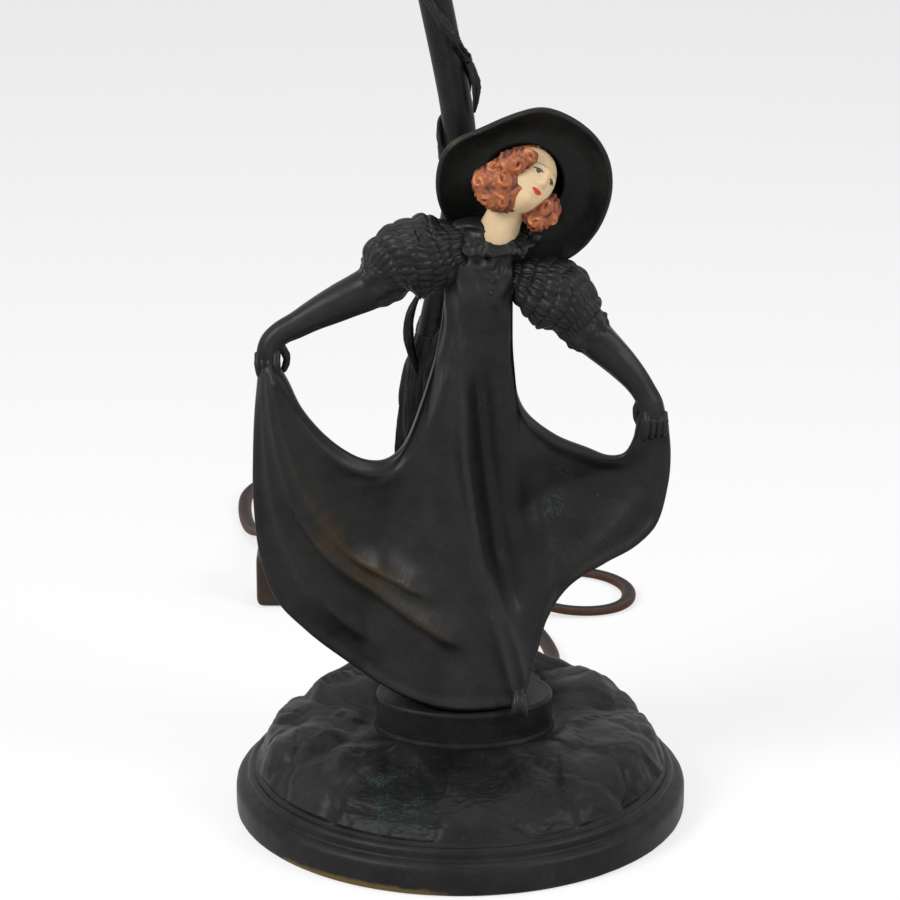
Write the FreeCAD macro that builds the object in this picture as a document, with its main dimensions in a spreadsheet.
"""Figure lamp: a lady in a wide skirt before a tree trunk, with a bent stem, a lamp socket and its cord.

Millimetres. +Z is up, +X to the viewer's right and +Y away from the viewer. The origin is the middle of
the base, on the surface that the lamp stands on.
"""
import FreeCAD, Part
import Sketcher
import math
import os
from FreeCAD import Placement, Rotation, Vector

doc = FreeCAD.newDocument("FigureLamp")

# ------------------------------------------------------------------ driving sizes
SIZES = {
    # base
    "base_radius": 89.0,
    "band_height": 12.0,
    "band_wall": 4.5,
    "step_inset": 4.5,
    "step_height": 5.5,
    "mound_foot_radius": 80.5,
    "mound_height": 34.5,
    "top_wall": 4.5,
    "plate_thickness": 1.2,
    "plate_ledge": 1.2,
    "felt_thickness": 1.0,
    # plinth and figure
    "plinth_x": 1.5,
    "plinth_half_width": 35.0,
    "plinth_half_depth": 25.5,
    "plinth_height": 12.0,
    "plinth_edge": 1.6,
    "foot_height": 2.6,
    "foot_half_width": 19.0,
    "foot_half_depth": 13.0,
    "cloth_thickness": 3.2,
    # trunk and stem
    "trunk_x": 0.0,
    "trunk_y": 42.0,
    "trunk_top": 178.0,
    "stem_radius": 6.4,
    "stem_wall": 1.5,
    "stem_tail": 12.5,
    "stem_top_x": -11.0,
    "stem_top_y": 26.0,
    "stem_top": 478.0,
    "vine_radius": 2.0,
    # hat and head
    "brim_radius": 32.5,
    "brim_thickness": 2.2,
    "crown_radius": 16.5,
    "crown_depth": 19.0,
    "head_radius": 12.2,
    "neck_radius": 5.6,
    # fasteners
    "bolt_radius": 2.5,
    "bolt_head_radius": 5.0,
    "bolt_head_height": 3.5,
    "bolt_reach": 26.0,
    "washer_thickness": 1.5,
    "washer_radius": 9.0,
    "nut_height": 4.0,
    "nut_radius": 9.5,
    # socket
    "nipple_radius": 4.75,
    "nipple_bore": 3.6,
    "nipple_reach": 9.0,
    "ring_radius": 9.5,
    "ring_height": 3.0,
    "cap_foot_radius": 9.0,
    "cap_radius": 16.2,
    "cap_dome": 14.0,
    "cap_height": 24.0,
    "metal_wall": 0.6,
    "shell_radius": 15.4,
    "shell_height": 47.0,
    "liner_wall": 0.8,
    "body_radius": 13.2,
    "body_height": 21.0,
    "thread_radius": 13.2,
    "thread_length": 24.0,
    "lip_width": 1.6,
    "lip_height": 3.2,
    "contact_radius": 4.0,
    "contact_height": 2.5,
    "key_height": 13.5,
    "shaft_radius": 1.6,
    "shaft_root": 4.0,
    "shaft_reach": 25.0,
    "shaft_window": 0.5,
    "knob_radius": 5.5,
    "knob_length": 9.0,
    "knob_standoff": 1.6,
    "knob_rib": 0.6,
    "screw_head": 2.0,
    "screw_spread": 6.5,
    # cord
    "cord_width": 6.5,
    "cord_exit_x": 26.0,
    "cord_exit_height": 7.0,
    "relief_length": 24.0,
    "relief_wall": 1.4,
    "coil_radius": 44.0,
    "coil_gap": 0.6,
    "plug_length": 26.0,
    "plug_depth": 17.0,
    "plug_width": 25.0,
    "plug_relief": 20.0,
    "blade_pitch": 12.7,
    "blade_length": 16.0,
    "blade_width": 6.3,
    "blade_thickness": 1.5,
    # clearances
    "seat_gap": 0.1,
    "running_gap": 0.06,
}

sheet = doc.addObject("Spreadsheet::Sheet", "Sizes")
for row, (alias, value) in enumerate(SIZES.items(), start=1):
    sheet.set(f"A{row}", alias)
    sheet.set(f"B{row}", str(value))
    sheet.setAlias(f"B{row}", alias)
doc.recompute()


def size(alias):
    """The value of one driving size."""
    return float(sheet.get(alias))


def derived(alias, formula):
    """A size worked out from others, kept in the sheet beside them."""
    row = len(SIZES) + len(DERIVED) + 1
    DERIVED.append(alias)
    sheet.set(f"A{row}", alias)
    sheet.set(f"B{row}", "=" + formula)
    sheet.setAlias(f"B{row}", alias)
    doc.recompute()


DERIVED = []
derived("step_radius", "base_radius - step_inset")
derived("step_top", "band_height + step_height")
derived("cavity_radius", "base_radius - band_wall")
derived("rebate_radius", "cavity_radius + plate_ledge")
derived("plate_top", "felt_thickness + plate_thickness")
derived("ceiling", "mound_height - top_wall")
derived("plinth_top", "mound_height + plinth_height")
derived("stem_bore", "stem_radius - stem_wall")
derived("ring_top", "stem_top + ring_height")
derived("cap_top", "ring_top + cap_height")
derived("shell_foot", "ring_top + cap_dome + 2")
derived("shell_top", "shell_foot + shell_height")
derived("body_foot", "ring_top + cap_dome")
derived("body_top", "body_foot + body_height")
derived("thread_top", "body_top + thread_length")
derived("key_z", "body_foot + key_height")
derived("cord_radius", "cord_width / 2")

PIECES = []


def piece(obj, label):
    """Give an object its node name and put it on the list of pieces."""
    obj.Label = label
    PIECES.append(obj)
    return obj


def shaped(label, shape):
    """A piece whose shape is worked out in this file from the sheet's sizes."""
    obj = doc.addObject("Part::Feature", label)
    obj.Shape = shape
    return piece(obj, label)


def turned(label, profile, foot=None, place=None):
    """A turned piece: a closed profile of (radius, height) formulas, revolved round its own Z axis.

    foot gives the sheet formulas of the axis's x and y; place is a fixed placement in their stead.
    """
    body = doc.addObject("PartDesign::Body", label + "_body")
    sketch = body.newObject("Sketcher::SketchObject", label + "_profile")
    plane = next(o for o in body.Origin.OriginFeatures if o.Role == "XZ_Plane")
    sketch.AttachmentSupport = [(plane, "")]
    sketch.MapMode = "FlatFace"
    values = [(evaluated(r), evaluated(z)) for r, z in profile]
    count = len(profile)
    for k in range(count):
        a, b = values[k], values[(k + 1) % count]
        sketch.addGeometry(Part.LineSegment(Vector(a[0], a[1], 0), Vector(b[0], b[1], 0)))
    for k in range(count):
        sketch.addConstraint(Sketcher.Constraint("Coincident", k, 2, (k + 1) % count, 1))
    for k, (r, z) in enumerate(profile):
        for kind, formula, value, axis in (("DistanceX", r, values[k][0], -2),
                                           ("DistanceY", z, values[k][1], -1)):
            if formula == "0":
                sketch.addConstraint(Sketcher.Constraint("PointOnObject", k, 1, axis))
            else:
                index = sketch.addConstraint(Sketcher.Constraint(kind, -1, 1, k, 1, value))
                sketch.setExpression(f"Constraints[{index}]", in_sheet(formula))
    doc.recompute()
    revolution = body.newObject("PartDesign::Revolution", label + "_turned")
    revolution.Profile = sketch
    revolution.ReferenceAxis = (sketch, ["V_Axis"])
    revolution.Angle = 360.0
    body.Tip = revolution
    if foot:
        body.setExpression("Placement.Base.x", in_sheet(foot[0]))
        body.setExpression("Placement.Base.y", in_sheet(foot[1]))
    if place:
        body.Placement = place
    doc.recompute()
    return piece(body, label)


def in_sheet(formula):
    """A formula in the sheet's aliases, as an expression that another object can hold."""
    words = formula.replace("(", " ( ").replace(")", " ) ").split()
    known = set(SIZES) | set(DERIVED)
    return " ".join("Sizes." + w if w in known else w for w in words)


def evaluated(formula):
    """The value of a formula in the sheet's aliases, of terms joined by + and -."""
    total, sign = 0.0, 1.0
    for word in formula.split():
        if word in "+-":
            sign = 1.0 if word == "+" else -1.0
        else:
            total += sign * (size(word) if word in SIZES or word in DERIVED else float(word))
    return total


def round_bar(name, radius, height, x, y, z):
    """A Part cylinder along +Z with every size bound to the sheet."""
    bar = doc.addObject("Part::Cylinder", name)
    bar.setExpression("Radius", in_sheet(radius))
    bar.setExpression("Height", in_sheet(height))
    for axis, formula in zip("xyz", (x, y, z)):
        bar.setExpression("Placement.Base." + axis, in_sheet(formula))
    return bar


# ------------------------------------------------------------------ paths and outlines
def tangent_path(points, report=None):
    """Straight runs joined by tangent arcs, each as large as its two runs allow."""
    corners, radii = [], []
    for a, b, c in zip(points, points[1:], points[2:]):
        back, ahead = (a - b), (c - b)
        shorter = min(back.Length, ahead.Length)
        turn = math.pi - back.getAngle(ahead)
        reach = 0.45 * shorter
        radii.append(reach / math.tan(turn / 2))
        back.normalize()
        ahead.normalize()
        inward = back + ahead
        inward.normalize()
        depth = radii[-1] / math.cos(turn / 2) - radii[-1]
        corners.append((b + back * reach, b + inward * depth, b + ahead * reach))
    edges, last = [], points[0]
    for start, middle, end in corners:
        edges.append(Part.LineSegment(last, start).toShape())
        edges.append(Part.Arc(start, middle, end).toShape())
        last = end
    edges.append(Part.LineSegment(last, points[-1]).toShape())
    wire = Part.Wire(edges)
    if report:
        smallest = ", ".join(f"{r:.0f}" for r in radii)
        print(f"{report}: {wire.Length:.0f} mm long, bend radii {smallest} mm")
    return wire


def biarc_path(points, tangents):
    """Two arcs between each pair of points, smooth all along."""
    edges = []
    for p, q, t0, t1 in zip(points, points[1:], tangents, tangents[1:]):
        span, sum_t, dot = q - p, t0 + t1, t0.dot(t1)
        along, gap = span.dot(sum_t), span.dot(span)
        if abs(1 - dot) < 1e-9:
            reach = gap / (4 * span.dot(t1))
        else:
            reach = (-along + math.sqrt(along ** 2 + 2 * (1 - dot) * gap)) / (2 * (1 - dot))
        joint = (p + q + (t0 - t1) * reach) * 0.5
        for start, end, tangent in ((p, joint, t0), (joint, q, None)):
            if tangent is None:
                edges.append(arc_from(end, start, t1 * -1).toShape())
            else:
                edges.append(arc_from(start, end, tangent).toShape())
    return Part.Wire(Part.__sortEdges__(edges))


def arc_from(start, end, tangent):
    """The arc, or the line, that leaves start along tangent and reaches end."""
    chord = end - start
    side = chord - tangent * chord.dot(tangent)
    if side.Length < 1e-7:
        return Part.LineSegment(start, end)
    radius = chord.Length ** 2 / (2 * side.Length)
    side.normalize()
    centre = start + side * radius
    half = (start + end) * 0.5 - centre
    if half.Length < 1e-7:
        half = Vector(tangent)
    half.normalize()
    return Part.Arc(start, centre + half * radius, end)


def tube(path, radius):
    """A round bar along a path."""
    first = path.Edges[0]
    start = first.valueAt(first.FirstParameter)
    heading = first.tangentAt(first.FirstParameter)
    section = Part.Wire(Part.makeCircle(radius, start, heading))
    return path.makePipeShell([section], True, False)


def closed_curve(points):
    """A smooth closed outline through points."""
    curve = Part.BSplineCurve()
    curve.interpolate(Points=points, PeriodicFlag=True)
    return Part.Wire(curve.toShape())


def between(stations, at):
    """Smooth interpolation in a short list of (place, value, value, ...) rows."""
    if at <= stations[0][0]:
        return stations[0][1:]
    for low, high in zip(stations, stations[1:]):
        if at <= high[0]:
            t = (at - low[0]) / (high[0] - low[0])
            t = t * t * (3 - 2 * t)
            return tuple(a + (b - a) * t for a, b in zip(low[1:], high[1:]))
    return stations[-1][1:]


def turned_vector(angle):
    """The unit vector at an angle in degrees, from +X towards +Y."""
    return Vector(math.cos(math.radians(angle)), math.sin(math.radians(angle)), 0)


# ------------------------------------------------------------------ base
OUTLINE_STEPS = 30


def rocky_outline(height, side, front, back, lobe):
    """A closed outline of the mound: wider or narrower to the front and back, with shallow lobes."""
    points = []
    for k in range(OUTLINE_STEPS):
        angle = 2 * math.pi * k / OUTLINE_STEPS
        s = math.sin(angle)
        reach = side + ((back - side) if s > 0 else (front - side)) * s * s
        reach += lobe * (math.cos(5 * angle + 0.7) + 0.6 * math.cos(8 * angle + 2.1))
        points.append(Vector(reach * math.cos(angle), reach * math.sin(angle), height))
    return closed_curve(points)


# The flat ceiling inside the base is a circle round this y, and reaches this far past the stem's nut.
CEILING_Y = 10.0
CEILING_SPARE = 4.5


def base_casting():
    """The hollow base: band, step and rocky mound, open below, with the holes for what passes through."""
    foot, top, step = size("mound_foot_radius"), size("mound_height"), size("step_top")
    mound = Part.makeLoft([
        rocky_outline(step - 1.0, foot, foot, foot, 0.0),
        rocky_outline(step + 1.5, foot - 1.2, foot - 1.5, foot - 1.2, 0.5),
        rocky_outline(step + 0.40 * (top - step), foot - 3.5, foot - 6.0, foot - 3.5, 1.0),
        rocky_outline(step + 0.75 * (top - step), foot - 7.5, foot - 20.0, foot - 6.0, 1.2),
        rocky_outline(top, foot - 21.0, foot - 47.0, foot - 12.0, 1.2),
    ], True, True)
    r, s = size("base_radius"), size("step_radius")
    band = size("band_height")
    rim = Part.makePolygon([Vector(0, 0, 0), Vector(r, 0, 0), Vector(r, 0, band - 1.0), Vector(r - 1.4, 0, band),
                            Vector(s, 0, band + 0.8), Vector(s, 0, step - 2.5), Vector(s - 1.6, 0, step - 0.8),
                            Vector(foot, 0, step), Vector(0, 0, step), Vector(0, 0, 0)])
    outside = Part.Face(rim).revolve(Vector(), Vector(0, 0, 1), 360).fuse(mound)
    c, ceiling = size("cavity_radius"), size("ceiling")
    room = Part.makePolygon([Vector(0, 0, -1), Vector(size("rebate_radius"), 0, -1),
                             Vector(size("rebate_radius"), 0, size("plate_top")), Vector(c, 0, size("plate_top")),
                             Vector(c, 0, band - 4.0), Vector(foot - 6.5, 0, step - 2.0),
                             Vector(foot - 11.0, 0, step + 5.0), Vector(0, 0, step + 5.0), Vector(0, 0, -1)])
    inside = Part.Face(room).revolve(Vector(), Vector(0, 0, 1), 360)
    inside = inside.fuse(Part.makeLoft([
        Part.Wire(Part.makeCircle(foot - 11.0, Vector(0, 0, step + 5.0))),
        Part.Wire(Part.makeCircle(size("trunk_y") - CEILING_Y + size("nut_radius") + CEILING_SPARE,
                                  Vector(0, CEILING_Y, ceiling))),
    ], True, True))
    gap = size("seat_gap")
    stem_hole = Part.makeCylinder(size("stem_radius") + gap, 2 * size("top_wall"),
                                  Vector(size("trunk_x"), size("trunk_y"), ceiling - size("top_wall") / 2))
    bolt_hole = Part.makeCylinder(size("bolt_radius") + gap, 2 * size("top_wall"),
                                  Vector(size("plinth_x"), 0, ceiling - size("top_wall") / 2))
    shape = outside.cut(inside).cut(stem_hole).cut(bolt_hole).cut(bushing_hole())
    return shape.removeSplitter()


# The cord leaves through the rim's back, square to the wall.
exit_heading = Vector(size("cord_exit_x"), math.sqrt(size("base_radius") ** 2 - size("cord_exit_x") ** 2), 0)
exit_heading.normalize()
exit_point = exit_heading * size("base_radius") + Vector(0, 0, size("cord_exit_height"))
exit_place = Placement(exit_point, Rotation(Vector(0, 0, 1), exit_heading))
BUSHING_BODY = size("cord_radius") + 0.75


def bushing_hole():
    """The round hole in the rim that the bushing sits in."""
    start = exit_point - exit_heading * 3 * size("band_wall")
    return Part.makeCylinder(BUSHING_BODY + size("seat_gap"), 5 * size("band_wall"), start, exit_heading)


shaped("base_casting", base_casting())
turned("base_plate", [("0", "felt_thickness"), ("rebate_radius - seat_gap", "felt_thickness"),
                      ("rebate_radius - seat_gap", "plate_top"), ("0", "plate_top")])
turned("felt_disc", [("0", "0"), ("cavity_radius", "0"), ("cavity_radius", "felt_thickness"),
                     ("0", "felt_thickness")])


def plinth():
    """The oval block, with a rounded top edge and the bolt's hole."""
    place = Placement(Vector(size("plinth_x"), 0, size("mound_height")), Rotation())
    oval = Part.Ellipse(Vector(), size("plinth_half_width"), size("plinth_half_depth"))
    block = Part.Face(Part.Wire(oval.toShape())).extrude(Vector(0, 0, size("plinth_height")))
    top = max(block.Edges, key=lambda e: e.CenterOfMass.z)
    block = block.makeFillet(size("plinth_edge"), [top])
    hole = Part.makeCylinder(size("bolt_radius") + size("seat_gap"), size("plinth_height"))
    shape = block.cut(hole)
    shape.Placement = place
    return shape


shaped("plinth", plinth())

# ------------------------------------------------------------------ stem and trunk
STEM_ROUTE = [
    Vector(size("trunk_x"), size("trunk_y"), size("ceiling") - size("stem_tail")),
    Vector(size("trunk_x"), size("trunk_y"), 52.0),
    Vector(-18.5, 34.0, 116.0),
    Vector(-14.0, 34.0, 170.0),
    Vector(-1.5, 34.0, 226.0),
    Vector(1.3, 34.0, 260.0),
    Vector(-7.5, 34.0, 306.0),
    Vector(-17.5, 33.0, 352.0),
    Vector(-19.5, 30.0, 398.0),
    Vector(size("stem_top_x"), size("stem_top_y"), 442.0),
    Vector(size("stem_top_x"), size("stem_top_y"), size("stem_top")),
]
stem_path = tangent_path(STEM_ROUTE, "stem")
stem_outside = tube(stem_path, size("stem_radius"))
shaped("stem_tube", stem_outside.cut(tube(stem_path, size("stem_bore"))))


def stem_at(height):
    """The stem's middle at a height."""
    for edge in stem_path.Edges:
        low, high = edge.valueAt(edge.FirstParameter), edge.valueAt(edge.LastParameter)
        if low.z > high.z:
            low, high = high, low
        if low.z - 1e-6 <= height <= high.z + 1e-6:
            span = (edge.FirstParameter, edge.LastParameter)
            for _ in range(40):
                middle = sum(span) / 2
                below = edge.valueAt(middle).z < height
                rising = edge.valueAt(edge.LastParameter).z > edge.valueAt(edge.FirstParameter).z
                span = (middle, span[1]) if below == rising else (span[0], middle)
            return edge.valueAt(sum(span) / 2)
    return Vector(STEM_ROUTE[-1])


# Trunk sections: height, reach to the sides, to the front, to the back, and the depth of its lobes.
TRUNK = [
    (size("mound_height"), 47.0, 12.0, 25.0, 3.0),
    (40.0, 42.0, 12.0, 22.0, 2.8),
    (45.0, 33.0, 11.8, 18.0, 2.2),
    (51.0, 21.0, 11.6, 15.0, 1.6),
    (62.0, 14.5, 11.5, 13.0, 1.0),
    (84.0, 12.0, 11.0, 12.0, 0.7),
    (116.0, 10.8, 10.3, 11.0, 0.6),
    (146.0, 9.8, 9.6, 10.0, 0.5),
    (166.0, 8.6, 8.4, 8.8, 0.3),
    (size("trunk_top"), 7.3, 7.3, 7.4, 0.1),
]


def tree_trunk():
    """The bark casting: lobed outlines round the stem's line, spreading into roots, bored for the stem."""
    wires = []
    for height, side, front, back, lobe in TRUNK:
        centre = stem_at(height)
        points = []
        for k in range(OUTLINE_STEPS):
            angle = 2 * math.pi * k / OUTLINE_STEPS
            s = math.sin(angle)
            reach = side + ((back - side) if s > 0 else (front - side)) * abs(s) ** 1.2
            reach += lobe * math.cos(6 * angle + 0.4 + height / 60)
            points.append(Vector(centre.x + reach * math.cos(angle), centre.y + reach * s, height))
        wires.append(closed_curve(points))
    bore = tube(stem_path, size("stem_radius") + size("seat_gap"))
    return Part.makeLoft(wires, True, True).cut(bore)


trunk = tree_trunk()
shaped("tree_trunk", trunk)

# The vine winds up round the stem: height and angle (0 is the viewer's right, 270 towards the viewer).
VINE_TURNS = [(182.0, 150.0), (200.0, 60.0), (222.0, -30.0), (243.0, -110.0), (262.0, -190.0), (279.0, -290.0),
              (291.0, -360.0), (303.0, -420.0), (322.0, -485.0), (344.0, -575.0), (366.0, -665.0),
              (388.0, -755.0)]


def vine():
    """A bar wound round the stem with a small gap to it, climbing at a changing rate."""
    reach = size("stem_radius") + size("vine_radius") + 0.3
    stations = []
    for (low, start), (high, end) in zip(VINE_TURNS, VINE_TURNS[1:]):
        for share in (0.0, 1 / 3, 2 / 3):
            stations.append((low + (high - low) * share, start + (end - start) * share))
    stations.append(VINE_TURNS[-1])
    points = [stem_at(height) + turned_vector(angle) * reach for height, angle in stations]
    tangents = []
    for k in range(len(points)):
        tangent = points[min(k + 1, len(points) - 1)] - points[max(k - 1, 0)]
        tangent.normalize()
        tangents.append(tangent)
    return tube(biarc_path(points, tangents), size("vine_radius"))


shaped("vine", vine())

# ------------------------------------------------------------------ gown
# The figure's heights are given for a plinth whose top is at FIGURE_STANDS, and move with the plinth.
FIGURE_STANDS = 46.5
figure_lift = Vector(0, 0, size("plinth_top") - FIGURE_STANDS)

# Ribs of the gown from the viewer's left hand to the right: upper end x, z and lower end x, z. The upper
# ends follow the held folds, the sides of the body and the shoulders, and the lower ends follow the hem.
GOWN_RIBS = [
    (-71.5, 187.5, -76.5, 184.0), (-66.5, 178.0, -78.3, 167.0), (-61.5, 167.0, -79.2, 148.0),
    (-53.5, 156.5, -79.3, 130.0), (-44.0, 148.0, -77.5, 110.0), (-35.5, 143.8, -71.5, 91.0),
    (-28.0, 144.2, -60.0, 77.5), (-21.5, 150.5, -47.0, 66.0), (-16.0, 164.0, -36.0, 58.0),
    (-9.5, 186.0, -25.0, 53.0), (-6.5, 206.0, -15.0, 51.0), (-4.0, 235.0, -6.0, 50.3),
    (7.0, 238.0, 4.0, 50.0), (18.0, 235.0, 13.0, 49.5), (19.4, 221.0, 19.0, 49.3), (19.9, 190.0, 23.6, 50.0),
    (20.8, 178.0, 27.0, 56.5), (22.2, 168.0, 30.3, 68.0), (26.5, 160.5, 34.0, 80.5), (36.5, 153.3, 43.0, 94.5),
    (48.5, 149.2, 56.0, 104.8), (57.0, 146.6, 68.0, 113.0), (63.0, 148.0, 75.5, 122.0),
    (66.6, 154.0, 79.3, 138.0), (68.0, 160.5, 79.9, 150.0), (69.5, 167.0, 78.8, 161.5),
]
# The body inside the gown: height, middle x, half width, depth to the front, depth to the back.
GOWN_BODY = [
    (48.0, 1.0, 29.0, 23.0, 20.5), (66.0, 0.5, 28.0, 20.5, 19.0), (84.0, 1.5, 27.0, 18.5, 17.0),
    (104.0, 2.5, 25.0, 16.5, 15.0), (124.0, 3.5, 21.5, 14.5, 13.5), (146.0, 4.5, 19.0, 12.5, 12.5),
    (166.0, 4.5, 17.5, 11.0, 12.0), (186.0, 5.3, 14.4, 9.3, 9.5), (199.0, 7.0, 13.4, 9.8, 9.0),
    (210.0, 8.0, 14.6, 11.5, 9.5), (224.0, 8.8, 15.5, 9.5, 9.0), (240.0, 8.5, 14.0, 6.0, 6.5),
]
HAND_FORWARD = 11.0
FOLD_DEPTH = 1.6
FOLD_COUNT = 4
GOWN_STEPS = 9


def gown_depths(x, z, down):
    """How far the gown reaches to the front and to the back of Y = 0 at x, z; down runs 0 to 1 along a rib."""
    middle, half, front, back = between(GOWN_BODY, z)
    aside = abs(x - middle) / half
    body = math.sqrt(max(0.0, 1 - aside * aside))
    outside = min(1.0, max(0.0, (abs(x - middle) - 0.55 * half) / 55.0))
    lean = -HAND_FORWARD * outside * outside * (3 - 2 * outside)
    wave = FOLD_DEPTH * outside ** 0.5 * math.cos(2 * math.pi * FOLD_COUNT * down) * (1 - (2 * down - 1) ** 6)
    half_cloth = size("cloth_thickness") / 2
    return (lean + wave - max(half_cloth, math.hypot(front * body, half_cloth) - half_cloth * 0.2),
            lean + wave + max(half_cloth, math.hypot(back * body, half_cloth) - half_cloth * 0.2))


def gown_section(rib):
    """The closed outline of one rib's slice: front, lower edge, back and upper edge."""
    x0, z0, x1, z1 = rib
    front, back = [], []
    for k in range(GOWN_STEPS):
        down = k / (GOWN_STEPS - 1)
        x, z = x0 + (x1 - x0) * down, z0 + (z1 - z0) * down
        near, far = gown_depths(x, z, down)
        front.append(Vector(x, near, z))
        back.append(Vector(x, far, z))
    return Part.makePolygon(front + list(reversed(back)) + front[:1])


def gown():
    """The skirt and bodice casting with the foot that stands on the plinth, bored for the bolt."""
    cloth = Part.makeLoft([gown_section(rib) for rib in GOWN_RIBS], True, True)
    cloth.translate(figure_lift)
    oval = Part.Ellipse(Vector(size("plinth_x"), 0, size("plinth_top")), size("foot_half_width"),
                        size("foot_half_depth"))
    foot = Part.Face(Part.Wire(oval.toShape())).extrude(Vector(0, 0, size("foot_height") + 6.0))
    hole = Part.makeCylinder(size("bolt_radius") + size("seat_gap"), size("bolt_reach"),
                             Vector(size("plinth_x"), 0, size("plinth_top") - 1.0))
    return cloth.fuse(foot).cut(hole)


gown_shape = gown()

# ------------------------------------------------------------------ head and hat
# The head leans to the viewer's right and looks that way and up; the hat sits on its back like a halo.
HEAD_CENTRE = Vector(24.4, -6.0, 256.0) + figure_lift
NECK_FOOT = Vector(14.5, -1.5, 233.0) + figure_lift
HAT_CENTRE = Vector(23.6, 5.0, 252.5) + figure_lift
HEAD_ROLL = 38.0
HAT_DROOP = 12.0


def ball(centre, rx, ry, rz, turn=None):
    """An ellipsoid with its own axes turned by turn."""
    shape = Part.makeSphere(1.0)
    grow = FreeCAD.Matrix()
    grow.scale(rx, ry, rz)
    shape = shape.transformGeometry(grow)
    shape.Placement = Placement(centre, turn or Rotation())
    return shape


def limb(stations):
    """A round bar of changing radius through (point, radius) stations."""
    wires = []
    for k, (point, radius) in enumerate(stations):
        low, high = stations[max(k - 1, 0)][0], stations[min(k + 1, len(stations) - 1)][0]
        ring = Part.makeCircle(radius)
        ring.Placement = Placement(point, Rotation(Vector(0, 1, 0), Vector(), high - low, "ZXY"))
        wires.append(Part.Wire(ring))
    return Part.makeLoft(wires, True, True)


head_turn = Rotation(Vector(0, 1, 0), HEAD_ROLL)
head_up = head_turn.multVec(Vector(0, 0, 1))


def face_and_neck():
    """The head as an egg on its neck."""
    r = size("head_radius")
    skull = ball(HEAD_CENTRE, r * 0.94, r, r * 1.22, head_turn)
    neck = limb([(NECK_FOOT + Vector(-1.5, 1.0, -6.0), size("neck_radius") + 1.6),
                 (NECK_FOOT, size("neck_radius") + 0.6),
                 (NECK_FOOT + (HEAD_CENTRE - NECK_FOOT) * 0.45, size("neck_radius")),
                 (NECK_FOOT + (HEAD_CENTRE - NECK_FOOT) * 0.9, size("neck_radius") + 0.4)])
    return skull.fuse(neck)


def hat():
    """Brim and crown: a wavy-edged disc with a hollow dome behind it."""
    r, t, crown, depth = (size(n) for n in ("brim_radius", "brim_thickness", "crown_radius", "crown_depth"))
    outline = [Vector(0, 0, 0), Vector(0, 0, depth), Vector(crown * 0.7, 0, depth * 0.86),
               Vector(crown, 0, depth * 0.35), Vector(crown + 1.5, 0, t), Vector(r - 2.0, 0, t * 0.6),
               Vector(r, 0, -0.6), Vector(r - 0.8, 0, -1.6), Vector(r - 3.0, 0, -t * 0.4),
               Vector(crown + 2.0, 0, 0), Vector(0, 0, 0)]
    body = Part.Face(Part.makePolygon(outline)).revolve(Vector(), Vector(0, 0, 1), 360)
    room = Part.makeCone(crown - 1.0, crown * 0.62, depth * 0.80, Vector(0, 0, -3.0))
    shape = body.cut(room)
    shape.Placement = hat_place
    return shape


hat_place = Placement(HAT_CENTRE, Rotation(Vector(0, 0, 1), Vector(0.0, math.cos(math.radians(HAT_DROOP)),
                                                                   math.sin(math.radians(HAT_DROOP)))))
hat_shape = hat()
face_shape = face_and_neck()

LOCK_SIDES = 14
LOCK_RINGS = 8


def lock(centre, rx, ry, rz):
    """A mass of hair: an egg of flat facets whose long axis is the head's."""
    wires = []
    for k in range(LOCK_RINGS + 1):
        tall = math.pi * (k + 0.12) / (LOCK_RINGS + 0.24)
        ring = []
        for j in range(LOCK_SIDES + 1):
            angle = 2 * math.pi * (j % LOCK_SIDES) / LOCK_SIDES
            point = Vector(rx * math.sin(tall) * math.cos(angle), ry * math.sin(tall) * math.sin(angle),
                           rz * math.cos(tall))
            ring.append(centre + head_turn.multVec(point))
        wires.append(Part.makePolygon(ring))
    return Part.makeLoft(wires, True, True)


def hair():
    """The curled bob: a cap over the back of the head and a cluster on each side."""
    side = head_turn.multVec(Vector(1, 0, 0))
    r = size("head_radius")
    cap = lock(HEAD_CENTRE + Vector(0, 5.0, 0) + head_up * 0.5, r * 1.10, r * 0.92, r * 1.14)
    left = lock(HEAD_CENTRE - side * (r * 1.02) + Vector(0, -0.5, 0) - head_up * 1.5, 6.6, 7.5, 11.5)
    right = lock(HEAD_CENTRE + side * (r * 0.98) + Vector(0, 1.5, 0) - head_up * 5.0, 5.2, 6.5, 9.5)
    return cap.fuse([left, right]).cut(face_shape).cut(hat_shape)


hair_shape = hair()
shaped("hat", hat_shape.cut(face_shape))
shaped("hair", max(hair_shape.Solids, key=lambda s: s.Volume))

# ------------------------------------------------------------------ arms
# Stations from the shoulder to the finger tips: x, y, z and radius.
LEFT_ARM = [(4.0, -1.0, 222.0, 9.0), (-6.0, -1.5, 224.0, 14.0), (-18.0, -3.0, 224.5, 16.4),
            (-29.0, -4.5, 219.5, 15.4), (-36.5, -5.5, 213.0, 10.4), (-41.0, -6.0, 210.2, 8.4),
            (-52.0, -7.5, 203.4, 5.8), (-62.0, -9.0, 199.2, 4.7), (-68.5, -10.0, 196.6, 4.6),
            (-72.6, -11.0, 190.5, 5.4), (-72.0, -11.5, 183.0, 5.0), (-70.5, -11.5, 178.0, 2.6)]
RIGHT_ARM = [(14.0, -1.0, 216.0, 9.0), (24.0, -1.5, 216.5, 12.5), (34.0, -3.0, 214.5, 14.6),
             (43.0, -4.5, 209.5, 13.2), (48.8, -5.5, 202.0, 9.6), (51.8, -6.0, 198.0, 8.0),
             (58.5, -7.5, 189.8, 6.2), (65.0, -9.0, 182.3, 5.4), (69.6, -10.0, 175.4, 5.2),
             (72.8, -11.0, 168.0, 5.4), (73.2, -11.5, 160.5, 4.6), (72.5, -11.5, 155.5, 2.6)]


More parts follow.
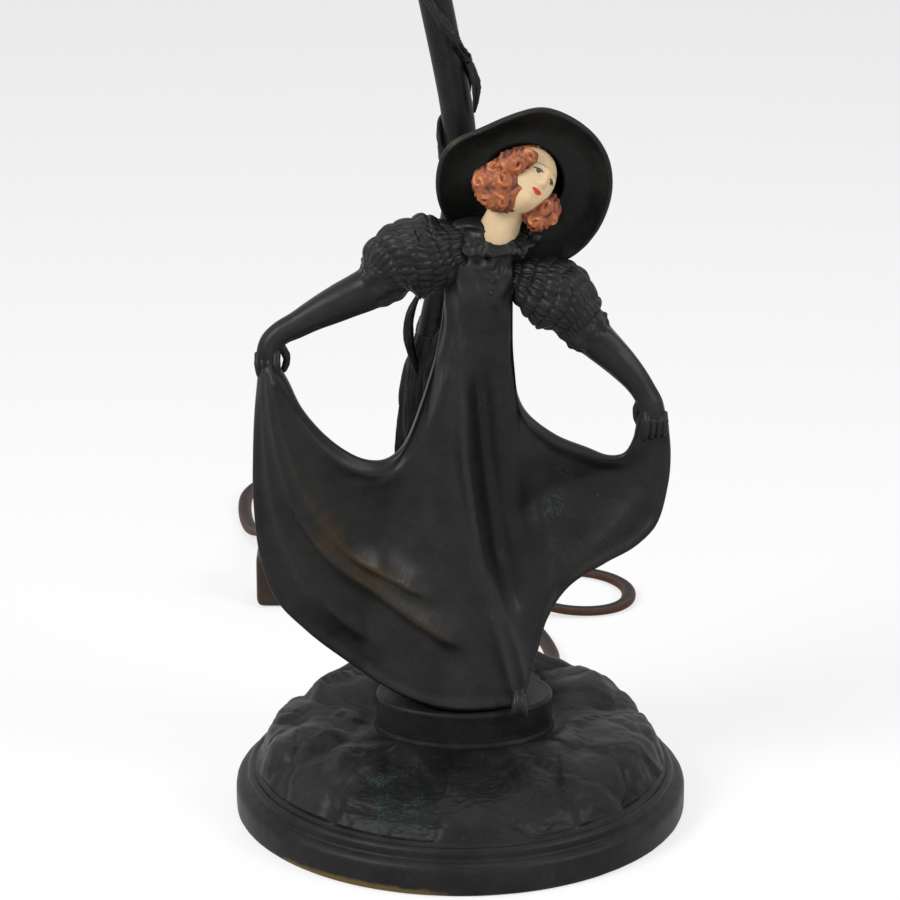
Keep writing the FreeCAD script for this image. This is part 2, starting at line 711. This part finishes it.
def arm(stations):
    """Puff sleeve, arm and hand as one casting, clear of the face and the hat."""
    whole = limb([(Vector(x, y, z) + figure_lift, radius) for x, y, z, radius in stations])
    return max(whole.cut(face_shape).cut(hat_shape).Solids, key=lambda s: s.Volume)


left_arm, right_arm = arm(LEFT_ARM), arm(RIGHT_ARM)
left_arm = left_arm.cut(right_arm)
shaped("left_arm", left_arm)
shaped("right_arm", right_arm)

# The bodice has a socket for each arm, and the hands close round the held cloth.
fitted = gown_shape.cut([left_arm, right_arm])
gown_shape = max(fitted.Solids, key=lambda s: s.Volume)
shaped("gown", gown_shape)
shaped("face_and_neck", max(face_shape.cut(gown_shape).Solids, key=lambda s: s.Volume))

# ------------------------------------------------------------------ fasteners
def figure_bolt():
    """The round-headed bolt from inside the base, through the plinth, into the gown's foot."""
    head = round_bar("bolt_head", "bolt_head_radius", "bolt_head_height", "plinth_x", "0",
                     "ceiling - washer_thickness - bolt_head_height")
    shank = round_bar("bolt_shank", "bolt_radius", "bolt_reach", "plinth_x", "0", "ceiling - washer_thickness")
    bolt = doc.addObject("Part::Fuse", "figure_bolt")
    bolt.Base, bolt.Tool = head, shank
    return piece(bolt, "figure_bolt")


figure_bolt()
turned("figure_washer", [("bolt_radius + seat_gap", "ceiling - washer_thickness"),
                         ("washer_radius", "ceiling - washer_thickness"), ("washer_radius", "ceiling"),
                         ("bolt_radius + seat_gap", "ceiling")], ("plinth_x", "0"))
turned("stem_washer", [("stem_radius + seat_gap", "ceiling - washer_thickness"),
                       ("nut_radius + 2", "ceiling - washer_thickness"), ("nut_radius + 2", "ceiling"),
                       ("stem_radius + seat_gap", "ceiling")], ("trunk_x", "trunk_y"))


def lock_nut():
    """The six-sided nut that pulls the stem down."""
    block = doc.addObject("Part::Prism", "nut_block")
    block.Polygon = 6
    block.setExpression("Circumradius", in_sheet("nut_radius"))
    block.setExpression("Height", in_sheet("nut_height"))
    for axis, formula in zip("xyz", ("trunk_x", "trunk_y", "ceiling - washer_thickness - nut_height")):
        block.setExpression("Placement.Base." + axis, in_sheet(formula))
    hole = round_bar("nut_hole", "stem_radius + seat_gap", "nut_height + 2", "trunk_x", "trunk_y",
                     "ceiling - washer_thickness - nut_height - 1")
    nut = doc.addObject("Part::Cut", "stem_lock_nut")
    nut.Base, nut.Tool = block, hole
    return piece(nut, "stem_lock_nut")


lock_nut()

# ------------------------------------------------------------------ socket at the top of the stem
TOP = ("stem_top_x", "stem_top_y")
turned("threaded_nipple", [("nipple_bore", "stem_top - nipple_reach"), ("nipple_radius", "stem_top - nipple_reach"),
                           ("nipple_radius", "ring_top + nipple_reach"),
                           ("nipple_bore", "ring_top + nipple_reach")], TOP)
turned("check_ring", [("nipple_radius + seat_gap", "stem_top"), ("stem_radius + 0.6", "stem_top"),
                      ("ring_radius", "stem_top + 1"), ("ring_radius", "ring_top"),
                      ("nipple_radius + seat_gap", "ring_top")], TOP)
turned("socket_cap", [("nipple_radius + seat_gap", "ring_top"), ("cap_foot_radius", "ring_top"),
                      ("cap_foot_radius + 1", "ring_top + 3"), ("cap_radius - 2", "ring_top + 9"),
                      ("cap_radius", "body_foot"), ("cap_radius", "cap_top"),
                      ("cap_radius - metal_wall", "cap_top"), ("cap_radius - metal_wall", "body_foot"),
                      ("body_radius - 2", "body_foot"), ("cap_foot_radius", "ring_top + 5"),
                      ("cap_foot_radius - 1", "ring_top + metal_wall"),
                      ("nipple_radius + seat_gap", "ring_top + metal_wall")], TOP)
liner = turned("insulating_liner", [("shell_radius - metal_wall - seat_gap - liner_wall", "shell_foot"),
                                    ("shell_radius - metal_wall - seat_gap", "shell_foot"),
                                    ("shell_radius - metal_wall - seat_gap", "shell_top - 2"),
                                    ("shell_radius - metal_wall - seat_gap - liner_wall", "shell_top - 2")], TOP)
switch_block = turned("switch_body", [("0", "body_foot"), ("body_radius", "body_foot"),
                                      ("body_radius", "body_top"), ("0", "body_top")], TOP)
turned("screw_shell", [("thread_radius - lip_width", "body_top"), ("thread_radius + metal_wall", "body_top"),
                       ("thread_radius + metal_wall", "thread_top"), ("thread_radius", "thread_top"),
                       ("thread_radius", "body_top + lip_height"),
                       ("thread_radius - lip_width", "body_top + lip_height")], TOP)
turned("centre_contact", [("0", "body_top"), ("contact_radius", "body_top"),
                          ("contact_radius - 1", "body_top + contact_height"),
                          ("0", "body_top + contact_height")], TOP)


def terminal_screws():
    """The two screws under the switch body that hold the cord's wires."""
    low = "body_foot - screw_head"
    left = round_bar("screw_a", "bolt_radius", "screw_head", "stem_top_x - screw_spread", "stem_top_y", low)
    right = round_bar("screw_b", "bolt_radius", "screw_head", "stem_top_x + screw_spread", "stem_top_y", low)
    pair = doc.addObject("Part::Compound", "terminal_screws")
    pair.Links = [left, right]
    return piece(pair, "terminal_screws")


terminal_screws()

# The switch turns about an axis along +X at the height key_z.
key_place = Placement(Vector(size("stem_top_x"), size("stem_top_y"), size("key_z")),
                      Rotation(Vector(0, 0, 1), Vector(1, 0, 0)))


def key_bar(radius, start, end):
    """A solid bar on the switch's axis."""
    return Part.makeCylinder(radius, end - start, key_place.multVec(Vector(0, 0, start)), Vector(1, 0, 0))


def bored(body, label, clearance):
    """A turned piece of the socket with the hole that the switch shaft passes through."""
    hole = doc.addObject("Part::Cylinder", label + "_hole")
    hole.setExpression("Radius", in_sheet("shaft_radius + " + clearance))
    hole.setExpression("Height", in_sheet("cap_radius + 4"))
    hole.Placement = Placement(Vector(), Rotation(Vector(0, 0, 1), Vector(1, 0, 0)))
    for axis, formula in zip("xyz", ("stem_top_x + shaft_root", "stem_top_y", "key_z")):
        hole.setExpression("Placement.Base." + axis, in_sheet(formula))
    cut = doc.addObject("Part::Cut", label + "_bored")
    cut.Base, cut.Tool = body, hole
    PIECES.remove(body)
    body.Label = label + "_turned_body"
    return piece(cut, label)


shell = turned("socket_shell", [("shell_radius - metal_wall", "shell_foot"), ("shell_radius", "shell_foot"),
                                ("shell_radius", "shell_top - 2"), ("cap_radius", "shell_top - 1"),
                                ("cap_radius", "shell_top"), ("shell_radius - metal_wall", "shell_top")], TOP)
bored(shell, "socket_shell", "shaft_window")
bored(liner, "insulating_liner", "shaft_window")
bored(switch_block, "switch_body", "running_gap")

KNOB_RIBS = 12
shaped("switch_shaft", key_bar(size("shaft_radius"), size("shaft_root") + size("seat_gap"), size("shaft_reach")))


def switch_knob():
    """The ribbed turn knob, bored for the end of its shaft."""
    start, radius = size("cap_radius") + size("knob_standoff"), size("knob_radius")
    end = start + size("knob_length")
    points = []
    for k in range(2 * KNOB_RIBS):
        reach = radius if k % 2 else radius - size("knob_rib")
        points.append(turned_vector(180.0 * k / KNOB_RIBS) * reach + Vector(0, 0, start))
    grip = Part.Face(Part.makePolygon(points + points[:1])).extrude(Vector(0, 0, size("knob_length")))
    grip.Placement = key_place
    return grip.cut(key_bar(size("shaft_radius"), start - 1.0, min(size("shaft_reach"), end - 1.5)))


shaped("switch_knob", switch_knob())

# ------------------------------------------------------------------ cord
floor_z = size("cord_radius")
lying = floor_z + 0.35
relief_end = exit_point + exit_heading * size("relief_length")
coil_centre = Vector(-4.0, 296.0, floor_z)
coil_side = coil_centre - Vector(size("coil_radius"), 0, 0)
coil_step = size("cord_width") + size("coil_gap")
coil_end = Vector(0, size("cord_width"), 0)
plug_corner = Vector(-92.0, 210.0, 0.0)
plug_exit = Vector(plug_corner.x + size("plug_depth") / 2, plug_corner.y + size("plug_length") + size("plug_relief"),
                   size("plug_width") / 2)

CORD_TO_COIL = [
    relief_end, relief_end + exit_heading * 15.0, Vector(41.2, 141.0, lying),
    Vector(39.5, 158.0, lying), Vector(35.5, 175.0, lying), Vector(29.5, 191.0, lying),
    Vector(25.0, 208.0, lying), Vector(25.5, 226.5, lying), Vector(34.5, 243.0, lying),
    Vector(50.0, 254.0, lying), Vector(67.5, 247.5, lying), Vector(77.5, 233.0, lying),
    Vector(78.0, 216.5, lying), Vector(72.0, 205.5, lying), Vector(60.5, 200.5, lying + 0.6),
    Vector(46.5, 200.0, 7.6), Vector(33.5, 200.5, 13.2), Vector(18.5, 203.5, 13.2), Vector(4.0, 208.5, 7.6),
    Vector(-11.0, 216.0, lying), Vector(-27.0, 227.0, lying), Vector(-40.0, 242.0, lying),
    Vector(-46.5, 258.5, floor_z), Vector(coil_side.x, 275.0, floor_z), coil_side - coil_end,
]
CORD_TO_PLUG = [
    coil_side + coil_end + Vector(0, 0, coil_step), coil_side + Vector(0, 20.0, coil_step),
    Vector(-49.5, 333.0, 6.6),
    Vector(-51.5, 350.0, lying), Vector(-55.0, 369.0, lying), Vector(-66.0, 385.0, lying),
    Vector(-83.5, 389.5, lying), Vector(-98.0, 378.5, lying), Vector(-104.5, 361.0, lying),
    Vector(-104.8, 342.0, lying), Vector(-102.8, 322.0, lying), Vector(-99.0, 303.5, 4.4),
    Vector(-91.5, 287.0, 7.4), Vector(plug_exit.x, 272.0, plug_exit.z), plug_exit,
]


COIL_TURNS = 5


def coil_path():
    """Two layers of turns: the spiral runs in below, climbs half a turn, and runs out again on top."""
    quarter, whole = 90.0, 360.0 * COIL_TURNS
    points, tangents = [], []
    for k in range(round(whole / quarter) + 1):
        run = k * quarter
        reach = size("coil_radius") - coil_step * min(run, whole - run) / 360.0
        up = min(1.0, max(0.0, (run - whole / 2) / (2 * quarter) + 0.5))
        angle = 180.0 - run
        points.append(coil_centre + turned_vector(angle) * reach + Vector(0, 0, coil_step * up))
        turning = run in (0.0, whole / 2, whole)
        inward = 0.0 if turning else math.copysign(coil_step / (2 * math.pi * reach), whole / 2 - run)
        rising = coil_step / (2 * reach) if run == whole / 2 else 0.0
        tangent = turned_vector(angle - 90) - turned_vector(angle) * inward + Vector(0, 0, rising)
        tangent.normalize()
        tangents.append(tangent)
    leads = [Part.LineSegment(points[0] - coil_end, points[0]).toShape(),
             Part.LineSegment(points[-1], points[-1] + coil_end).toShape()]
    return Part.Wire([leads[0]] + biarc_path(points, tangents).OrderedEdges + [leads[1]])


def least_gap(path, width, skip):
    """The least gap between parts of a wound tube that lie more than skip apart along it."""
    spots = path.discretize(Distance=4.0)
    least = 1e9
    for i, a in enumerate(spots):
        for b in spots[i + skip:]:
            least = min(least, (a - b).Length)
    return least - width


def cord_tube(label, route):
    """A free stretch of cord, with its volume set against its section times its length."""
    path = tangent_path(route, label)
    solid = tube(path, size("cord_radius"))
    section = math.pi * size("cord_radius") ** 2
    print(f"{label}: volume is {solid.Volume / (section * path.Length):.4f} of section times length")
    shaped(label, solid)
    return path.Length


coil_line = coil_path()
coil_solid = tube(coil_line, size("cord_radius"))
lengths = [cord_tube("cord_to_coil", CORD_TO_COIL), coil_line.Length, cord_tube("cord_to_plug", CORD_TO_PLUG)]
print(f"cord_coil: {coil_line.Length:.0f} mm long, least gap {least_gap(coil_line, size('cord_width'), 12):.2f} mm")
print(f"cord from bushing to plug: {sum(lengths):.0f} mm")
shaped("cord_coil", coil_solid)


def cord_bushing():
    """The bushing in the rim: its body in the wall, a collar and the tapered strain relief outside."""
    bore, nose = size("cord_radius") + size("running_gap"), size("cord_radius") + 0.7
    neck, reach = size("cord_radius") + size("relief_wall") + 0.6, size("relief_length")
    wall = size("band_wall") + 1.0
    outline = [Vector(bore, 0, -wall), Vector(BUSHING_BODY, 0, -wall), Vector(BUSHING_BODY, 0, 0.4),
               Vector(neck, 0, 0.4), Vector(neck, 0, 2.4), Vector(nose, 0, reach), Vector(bore, 0, reach),
               Vector(bore, 0, -wall)]
    shape = Part.Face(Part.makePolygon(outline)).revolve(Vector(), Vector(0, 0, 1), 360)
    shape.Placement = exit_place
    return shape


shaped("cord_bushing", cord_bushing())

# Inside the bushing the cord runs straight, and from there it goes on under the stem and up to the socket.
inner_start = exit_point - exit_heading * (size("band_wall") + 1.0)
shaped("cord_in_bushing", Part.makeCylinder(size("cord_radius"), (relief_end - inner_start).Length, inner_start,
                                            exit_heading))
INNER_ROUTE = [
    inner_start, exit_point - exit_heading * 20.0,
    Vector(size("trunk_x"), size("trunk_y"), size("cord_exit_height") + 0.5),
] + STEM_ROUTE[1:-1] + [Vector(size("stem_top_x"), size("stem_top_y"), size("body_foot") - 3.5)]
shaped("inner_cord", tube(tangent_path(INNER_ROUTE, "inner_cord"), size("nipple_bore") - 0.6))


def plug_body():
    """The moulded plug with rounded edges and its strain relief."""
    block = Part.makeBox(size("plug_depth"), size("plug_length"), size("plug_width"), plug_corner)
    block = block.makeFillet(1.6, block.Edges)
    root = plug_exit - Vector(0, size("plug_relief") + 1.0, 0)
    relief = Part.makeCone(size("cord_radius") + 2.2, size("cord_radius") + 0.7, size("plug_relief") + 1.0, root,
                           Vector(0, 1, 0))
    return block.fuse(relief)


def plug_blades():
    """The two flat blades, square to the cord."""
    blades = []
    for side in (-0.5, 0.5):
        corner = Vector(plug_corner.x + size("plug_depth"), plug_corner.y + size("plug_length") / 2
                        - size("blade_width") / 2, size("plug_width") / 2 + side * size("blade_pitch")
                        - size("blade_thickness") / 2)
        blades.append(Part.makeBox(size("blade_length"), size("blade_width"), size("blade_thickness"), corner))
    return Part.makeCompound(blades)


shaped("plug_body", plug_body())
shaped("plug_blades", plug_blades())


# ------------------------------------------------------------------ check and write
doc.recompute()
for obj in doc.Objects:
    if "Invalid" in obj.State or "Error" in obj.State:
        raise RuntimeError(f"{obj.Name} failed: {obj.State}")
os.makedirs("parts", exist_ok=True)
for obj in PIECES:
    if obj.Shape.isNull() or not obj.Shape.isValid():
        raise RuntimeError(f"{obj.Label} has no valid shape")
    print(f"{obj.Label}: {len(obj.Shape.Solids)} solid, {obj.Shape.Volume / 1000:.2f} cm3")
    obj.Shape.exportStep(f"parts/{obj.Label}.step")
